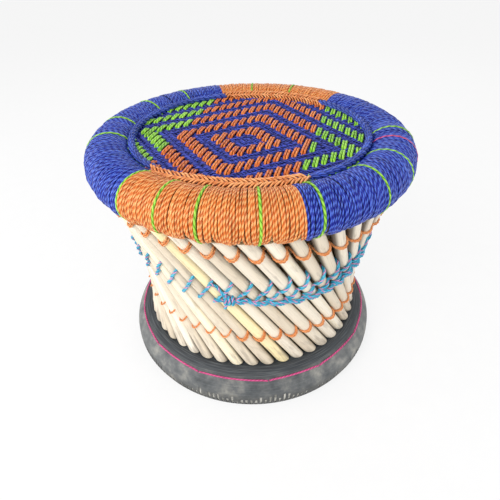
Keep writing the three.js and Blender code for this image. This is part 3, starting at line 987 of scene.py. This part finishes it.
# A stitch comes out at the top of a groove, crosses two sticks, and goes in again or hooks under the run
def stitchPoints(k, hooked):
    top = stationHeight(waistRope["top"], grooveTurn(k, 0.235))
    middle = grooveTurn(k - 2, 0.2)
    if hooked:
        bottom = stationHeight(waistRope["run"], middle) + waistRope["hookRise"]
    else:
        bottom = stationHeight(waistRope["bottom"], middle) + rng.uniform(-0.001, 0.001)
    start, end = grooveTurn(k, top), grooveTurn(k - 2, bottom)
    bend = waistRope["hookedBend"] if hooked else waistRope["bend"]
    points = [tuckedPoint(start + waistRope["tuckTurn"], top, waistRope["tuckRise"])]
    for share in shares(8):
        turn = mixed(start, end, share) + bend * sin(pi * share)
        points.append(ropePoint(turn, mixed(top, bottom, share)))
    if not hooked:
        points.append(tuckedPoint(end - waistRope["tuckTurn"], bottom, -waistRope["tuckRise"]))
    return points


def layKnot(bm):
    turn, height = knot["turn"], knot["height"]
    centre = ropePoint(turn, height, knot["lift"])
    across, outward = sidewaysAt(turn), outwardAt(turn)
    for wind in range(3):
        points = []
        for angle in (tau * i / 12 * 1.08 for i in range(13)):
            points.append(centre + across * (knot["spacing"] * (wind - 1) + knot["slant"] * sin(angle))
                          + upward * (knot["halfHeight"] * cos(angle))
                          + outward * (knot["depth"] * sin(angle) + knot["windLift"]))
        layRope(bm, points, 0.5, wind)
    for i, end in enumerate(knot["ends"]):
        points = [centre + across * x + outward * y + upward * z for x, y, z in end]
        layRope(bm, points, 0.5 + 0.1 * i, i + 1)
    points = [centre + outward * knot["lift"]]
    for share in shares(6)[1:]:
        level = mixed(height + knot["riseStart"], knot["riseTop"], share)
        points.append(ropePoint(turn + knot["riseTurn"] * share, level, knot["lift"]))
    layRope(bm, points, 0.5, 0)


bm = newMesh()
knotStick = round((knot["turn"] - firstTurn - leanTurn(outerLayer, knot["height"])) / pitch)
for k in range(knotStick - 20, knotStick + 26):
    layRope(bm, stitchPoints(k, k > knotStick + 2), rng.uniform(0.3, 0.7), rng.uniform(0, 6))
for row in range(2):
    points = []
    for i in range(waistRope["runSteps"] + 1):
        turn = mixed(knot["turn"], radians(waistRope["runEnd"]), i / waistRope["runSteps"])
        height = stationHeight(waistRope["run"], turn) + waistRope["runUneven"] * uneven(i * 0.4, row * 9)
        height += waistRope["runSpacing"] * (2 * row - 1)
        points.append(ropePoint(turn, height, waistRope["runLift"]))
    points.append(tuckedPoint(radians(waistRope["runEnd"] + 2), 0.2))
    layRope(bm, points, 0.55, row * 2.0)
layKnot(bm)
makePiece("waistRope", bm, [cyanRope, pinkRope], ["waist_lashing"])
print("waist rope stitched")

# Rim. The strands are numbered from the front on to the right. Accents are turns in degrees: lime, then red.
rim = {
    "perBundle": 10,
    "steps": 16,
    "sides": 6,
    "radius": 0.00172,
    "outerFloor": -52,
    "innerFloor": 212,
    "gather": 0.6,
    "sink": 0.007,
    "wander": 0.0011,
    "drift": 0.0012,
    "uneven": 0.0007,
    "depths": (-0.0008, 0.0005),
    "accentRise": 0.0009,
    "tuck": {"gather": 0.2, "out": 0.012, "drop": 0.0245},
    "strands": {"front": (-10, 62), "right": (62, 214), "back": (214, 293), "left": (293, 450)},
    "accents": {"front": ((-41.5, -27.8, -15.2, 2.0),), "right": ((19.5, 42.6, 60.3, 84.4), (74,)),
                "back": ((178.4, 156.9),), "left": ((-145.3, -124.1, -100.9, -83.2),)},
}
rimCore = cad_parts["rim_core"]
rimCore.data.materials.clear()
rimCore.data.materials.append(grainMaterial(
    "bundledStraw", "Object", (240, 240, 240), 3.0,
    ((0.3, (120, 98, 60)), (0.5, (190, 166, 112)), (0.7, (222, 202, 150))),
    0.002, 0.8, (0.2, 0.7), distortion=0.6))


# A strand's path over the rim. Below the rim's middle, outside, its bundle gathers between two sticks.
def rimStrandPath(centre, offset, depth, drift, seed):
    tuck = rim["tuck"]
    points = [around(centre + offset * tuck["gather"] * pitch, rimRadius + tuck["out"],
                     stool["rimHeight"] - tuck["drop"] + depth)]
    radii = [rim["radius"]]
    outwards = [-upward]
    for share in shares(rim["steps"]):
        angle = radians(mixed(rim["outerFloor"], rim["innerFloor"], share))
        low = max(0, -sin(angle)) if cos(angle) > 0 else 0
        wander = uneven(seed, share * 3.1) * rim["wander"]
        turn = centre + offset * (1 - rim["gather"] * low ** 2) * pitch
        turn += (wander + drift * (share - 0.5)) / rimRadius
        bulge = depth + rim["uneven"] * uneven(share * 4, seed, 5) - rim["sink"] * low ** 2 * abs(offset)
        radius = rimRadius + (stool["rimHalfWidth"] - rim["radius"] + bulge) * cos(angle)
        height = stool["rimHeight"] + (stool["rimHalfHeight"] - rim["radius"] + bulge) * sin(angle)
        points.append(around(turn, radius, height))
        radii.append(rim["radius"] * min(1.04, max(0.8, radius / 0.218)))
        outwards.append(around(turn, cos(angle), sin(angle)))
    return points, radii, outwards


def isNear(turn, places, reach):
    return any(abs((turn - radians(place) + pi) % tau - pi) < reach for place in places)


for side, (first, last) in rim["strands"].items():
    bm = newMesh()
    for strand in range(first, last):
        bundle, number = divmod(strand, rim["perBundle"])
        centre = firstTurn + leanTurn(outerLayer, stool["topHeight"]) + (bundle + 0.5) * pitch
        offset = (number + 0.5) / rim["perBundle"] - 0.5
        slot = 0
        for accent, places in enumerate(rim["accents"][side]):
            if isNear(centre + offset * pitch, places, pitch / rim["perBundle"] * 0.51):
                slot = accent + 1
        depth = rng.uniform(*rim["depths"])
        if slot:
            depth = rim["accentRise"]
        drift, seed = rng.uniform(-rim["drift"], rim["drift"]), rng.uniform(0, 90)
        points, radii, outwards = rimStrandPath(centre, offset, depth, drift, seed)
        layStrand(bm, points, radii, rim["sides"], rng.uniform(0.25, 0.6), slot, outwards)
    base = orangeTwine if side in ("front", "back") else blueTwine
    makePiece(f"rimWrap{side.title()}", bm, [base, limeTwine, redTwine], [f"rim_wrap_{side}"])
print("rim wrapped")

# Seat. Blue rows run from side to side, over the warp, and floats lie on them in bands that make diamonds.
seat = {
    "centre": (-0.006, -0.029),
    "turned": radians(16),
    "columns": range(-19, 19),
    "columnPitch": 0.010,
    "rows": range(-60, 66),
    "rowPitch": 0.00333,
    "bands": (0.042, 0.097, 0.151, 0.201, 0.252),
    "limeFrom": (-0.096, 0.088),
    "ridgePitch": 0.0137,
    "ridgeRise": 0.0012,
    "edge": 0.1745,
    "edgeFall": 0.003,
    "edgeWidth": 0.008,
    "level": 0.3576,
    "rowRadius": 0.00162,
    "rowStep": 0.0025,
    "rowDip": 0.0018,
    "rowUneven": 0.0005,
    "rowWaver": 0.0009,
    "warpRadius": 0.0018,
    "warpDrop": 0.0034,
    "warpStep": 0.008,
    "warpUneven": 0.0004,
    "warpWaver": 0.0005,
    "floatRadius": 0.00190,
    "floatLength": 0.0240,
    "floatLeast": 0.006,
    "floatRise": 0.0026,
    "floatDrop": 0.0030,
    "floatTuck": 0.0016,
    "floatStep": 0.0026,
    "floatLean": 0.0006,
    "pairSpacing": 0.0037,
}
acrossWeave = sidewaysAt(-seat["turned"])
alongWeave = outwardAt(pi - seat["turned"])


# Where a strand at this place of the weave meets the seat's edge: its two ends, or nothing
def weaveReach(place, along, aside):
    start = Vector((*seat["centre"], 0)) + aside * place
    b = start.dot(along)
    root = b * b - start.length_squared + seat["edge"] ** 2
    return (-b - root ** 0.5, -b + root ** 0.5) if root > 0 else None


def columnAt(index):
    return (index + 0.5) * seat["columnPitch"]


def floats(column, row):
    spot = abs(columnAt(column)) + abs(row * seat["rowPitch"])
    return any(abs(spot - band) < seat["floatLength"] / 2 for band in seat["bands"])


def weavePoint(u, v, height):
    spot = Vector((*seat["centre"], 0)) + acrossWeave * u + alongWeave * v
    return Vector((spot.x, spot.y, height))


# A row dips beneath each float and falls at the seat's edge
def rowHeight(u, v, row, reach):
    column = floor(u / seat["columnPitch"])
    beside = abs(u - columnAt(column)) / (seat["columnPitch"] / 2)
    dip = seat["rowDip"] * (1 - eased((beside - 0.55) / 0.45)) if floats(column, row) else 0
    fall = seat["edgeFall"] * (1 - eased(min(u - reach[0], reach[1] - u) / seat["edgeWidth"]))
    ridge = seat["ridgeRise"] * cos((abs(u) + abs(v) - seat["bands"][0]) / seat["ridgePitch"] * tau)
    return seat["level"] - ridge - dip - fall


bm = newMesh()
for row in seat["rows"]:
    v = row * seat["rowPitch"]
    reach = weaveReach(v, acrossWeave, alongWeave)
    if not reach:
        continue
    points = []
    u = reach[0]
    phase = rng.uniform(0, 60)
    while u < reach[1] + 1e-6:
        height = rowHeight(u, v, row, reach) + seat["rowUneven"] * uneven(u * 60, phase)
        points.append(weavePoint(u, v + seat["rowWaver"] * uneven(u * 35, phase, 7), height))
        u += seat["rowStep"]
    layStrand(bm, points, seat["rowRadius"], 5, rng.uniform(0.1, 0.9), 0, upward)
makePiece("seatBlueStrands", bm, [seatBlueTwine], ["seat_weave"])

bm = newMesh()
thirds = [third * seat["columnPitch"] / 3 for third in (-1, 0, 1)]
for u in [columnAt(column) + third for column in seat["columns"] for third in thirds]:
    reach = weaveReach(u, alongWeave, acrossWeave)
    if not reach:
        continue
    count = max(2, round((reach[1] - reach[0]) / seat["warpStep"]))
    phase = rng.uniform(0, 60)
    points = []
    for v in (mixed(*reach, share) for share in shares(count)):
        height = seat["level"] - seat["warpDrop"] + seat["warpUneven"] * uneven(v * 50, phase)
        points.append(weavePoint(u + seat["warpWaver"] * uneven(v * 30, phase, 7), v, height))
    layStrand(bm, points, seat["warpRadius"], 5, rng.uniform(0.1, 0.9), 0, -upward)
makePiece("seatWarp", bm, [seatBlueTwine], ["seat_weave"])


# The stretches of a column that lie on the weave
def floatStretches(u):
    reach = weaveReach(u, alongWeave, acrossWeave)
    if not reach:
        return []
    half = seat["floatLength"] / 2
    stretches = []
    for band in seat["bands"]:
        near, far = band - abs(u) - half, band - abs(u) + half
        if far > half / 2:
            stretches += [(-far, far)] if near < 0 else [(near, far), (-far, -near)]
    bottom, top = reach[0] + seat["floatTuck"], reach[1] - seat["floatTuck"]
    clipped = [(max(low, bottom), min(high, top)) for low, high in stretches]
    return [(low, high) for low, high in clipped if high - low > seat["floatLeast"]]


# One of a pair of float strands, which rises from under the weave at both ends
def layFloat(bm, u, low, high, side, slot):
    start = low + rng.uniform(-0.0012, 0.0008)
    stop = high + rng.uniform(-0.0008, 0.0012)
    count = max(5, round((stop - start) / seat["floatStep"]))
    lean = rng.uniform(-seat["floatLean"], seat["floatLean"])
    points = []
    for share in shares(count):
        v = mixed(start - seat["floatTuck"], stop + seat["floatTuck"], share)
        rise = min(1, 9 * share * (1 - share)) ** 0.6
        height = seat["level"] - seat["floatDrop"] + (seat["floatDrop"] + seat["floatRise"]) * rise
        points.append(weavePoint(u + side * seat["pairSpacing"] + lean * (share - 0.5) * 2, v, height))
    layStrand(bm, points, seat["floatRadius"], 6, rng.uniform(0.15, 0.9), slot, upward)


bm = newMesh()
for u in map(columnAt, seat["columns"]):
    slot = 0 if seat["limeFrom"][0] < u < seat["limeFrom"][1] else 1
    for low, high in floatStretches(u):
        for side in (-0.5, 0.5):
            layFloat(bm, u, low, high, side, slot)
makePiece("seatFloats", bm, [floatOrange, floatLime], ["seat_weave"])
print("seat woven")

# Braid over the seat's edge: plaits in front and at the back, and a rope at both sides. A plait is given by
# its first and last turn in degrees, its slope outward and its lift.
braid = {
    "radius": 0.1685,
    "height": 0.3632,
    "halfWidth": 0.0082,
    "crossing": 0.0016,
    "reach": 0.0165,
    "pitch": 0.0112,
    "rise": 0.0030,
    "tuck": 0.0036,
    "twineRadius": 0.00160,
    "twineGap": 0.0052,
    "front": (-46, 26, -0.32, 0.0016),
    "back": (133, 196, 0.45, 0),
    "flare": 0.0085,
    "ropeRadius": 0.003,
    "ropeReach": 0.0026,
    "ropeTwist": 0.021,
    "ropeStep": 0.0022,
    "ropeOverlap": 2,
}


# The plait leaves the seat's edge a little at its left end in front
def braidRadius(turn):
    return braid["radius"] + braid["flare"] * eased((-18 - degrees(turn)) / 28)


# Arms of two twines each come in from both edges in turn, cross the middle and dive under the next one
def layPlait(bm, start, end, slope, lift):
    span = radians(end - start) - braid["reach"] / braid["radius"]
    count = round(span * braid["radius"] / braid["pitch"]) * 2
    for arm in range(count):
        side = 1 if arm % 2 else -1
        origin = radians(start) + span * arm / count
        tone = rng.uniform(0.2, 0.8)
        for twine in (-0.5, 0.5):
            points = []
            for share in shares(8):
                out = side * mixed(braid["halfWidth"], -braid["crossing"], share)
                turn = origin + (braid["reach"] * share + braid["twineGap"] * twine) / braid["radius"]
                height = braid["height"] + lift + slope * out + braid["rise"] * sin(pi * share ** 0.8)
                height -= braid["tuck"] * ((1 - share) ** 3 + 0.5 * share ** 4)
                points.append(around(turn, braidRadius(turn) + out, height))
            layStrand(bm, points, braid["twineRadius"], 6, min(1, tone + 0.2 * (twine + 0.5)), 0, upward)


bm = newMesh()
layPlait(bm, *braid["front"])
layPlait(bm, *braid["back"])
makePiece("seatPlait", bm, [plaitOrange], ["seat_braid"])

bm = newMesh()
for start, end in ((braid["front"][1], braid["back"][0]), (braid["back"][1], 360 + braid["front"][0])):
    start, end = radians(start - braid["ropeOverlap"]), radians(end + braid["ropeOverlap"])
    count = round((end - start) * braid["radius"] / braid["ropeStep"])
    path = [around(mixed(start, end, share), braid["radius"], braid["height"]) for share in shares(count)]
    for line in plyPaths(path, 2, braid["ropeReach"], braid["ropeTwist"]):
        layStrand(bm, line, braid["ropeRadius"], 10, rng.uniform(0.4, 0.7))
makePiece("seatRope", bm, [braidBlueTwine], ["seat_braid"])
print("seat edge covered")

# Floor, backdrop and lamps. A lamp is its name, place, size and power.
studio = {
    "floorSize": 6,
    "floorWhite": 0.78,
    "sky": 0.66,
    "aim": Vector((0, 0, 0.2)),
    "lamps": (
        ("keyLamp", (-1.0, -1.4, 1.35), 1.1, 22),
        ("fillLamp", (1.4, -1.3, 0.9), 1.4, 9),
        ("backLamp", (0.2, 1.6, 1.5), 1.2, 5),
        ("sideLamp", (-1.7, -0.2, 0.7), 1.0, 7),
    ),
}


# Shows a white shader in place of a tree's own one, by this share, to the camera and in reflections
def whiten(tree, own, white, output, share):
    path = addNode(tree, "ShaderNodeLightPath").outputs
    seen = addMath(tree, "MAXIMUM", path["Is Camera Ray"], path["Is Glossy Ray"])
    seen = addMath(tree, "MAXIMUM", seen, path["Is Transmission Ray"])
    plain = addNode(tree, white, {"Color": (1, 1, 1, 1), "Strength": 1.0})
    both = addNode(tree, "ShaderNodeMixShader", {"Fac": addMath(tree, "MULTIPLY", seen, share)})
    tree.links.new(own.outputs[0], both.inputs[1])
    tree.links.new(plain.outputs[0], both.inputs[2])
    tree.links.new(both.outputs[0], tree.nodes[output].inputs["Surface"])


paleFloor, tree, shader = newMaterial("paleFloor")
speck = addNoise(tree, placeOf(tree, "Object"), 30.0, 2.0)
feed(tree, shader.inputs["Base Color"], addRamp(tree, speck, (0.3, (240, 240, 240)), (0.7, (244, 244, 244))))
shader.inputs["Roughness"].default_value = 0.9
whiten(tree, shader, "ShaderNodeEmission", "Material Output", studio["floorWhite"])

bm = bmesh.new()
bmesh.ops.create_grid(bm, x_segments=1, y_segments=1, size=studio["floorSize"])
floorPiece = addObject("floor", meshFrom("floor", bm))
floorPiece.data.materials.append(paleFloor)

world = bpy.data.worlds.new("studio")
bpy.context.scene.world = world
world.use_nodes = True
sky = world.node_tree.nodes["Background"]
sky.inputs["Color"].default_value = (1, 1, 1, 1)
sky.inputs["Strength"].default_value = studio["sky"]
whiten(world.node_tree, sky, "ShaderNodeBackground", "World Output", 1.0)

for name, place, size, power in studio["lamps"]:
    lamp = bpy.data.lights.new(name, "AREA")
    lamp.size = size
    lamp.energy = power
    lampPiece = addObject(name, lamp)
    lampPiece.location = place
    lampPiece.rotation_euler = (studio["aim"] - Vector(place)).to_track_quat("-Z", "Y").to_euler()
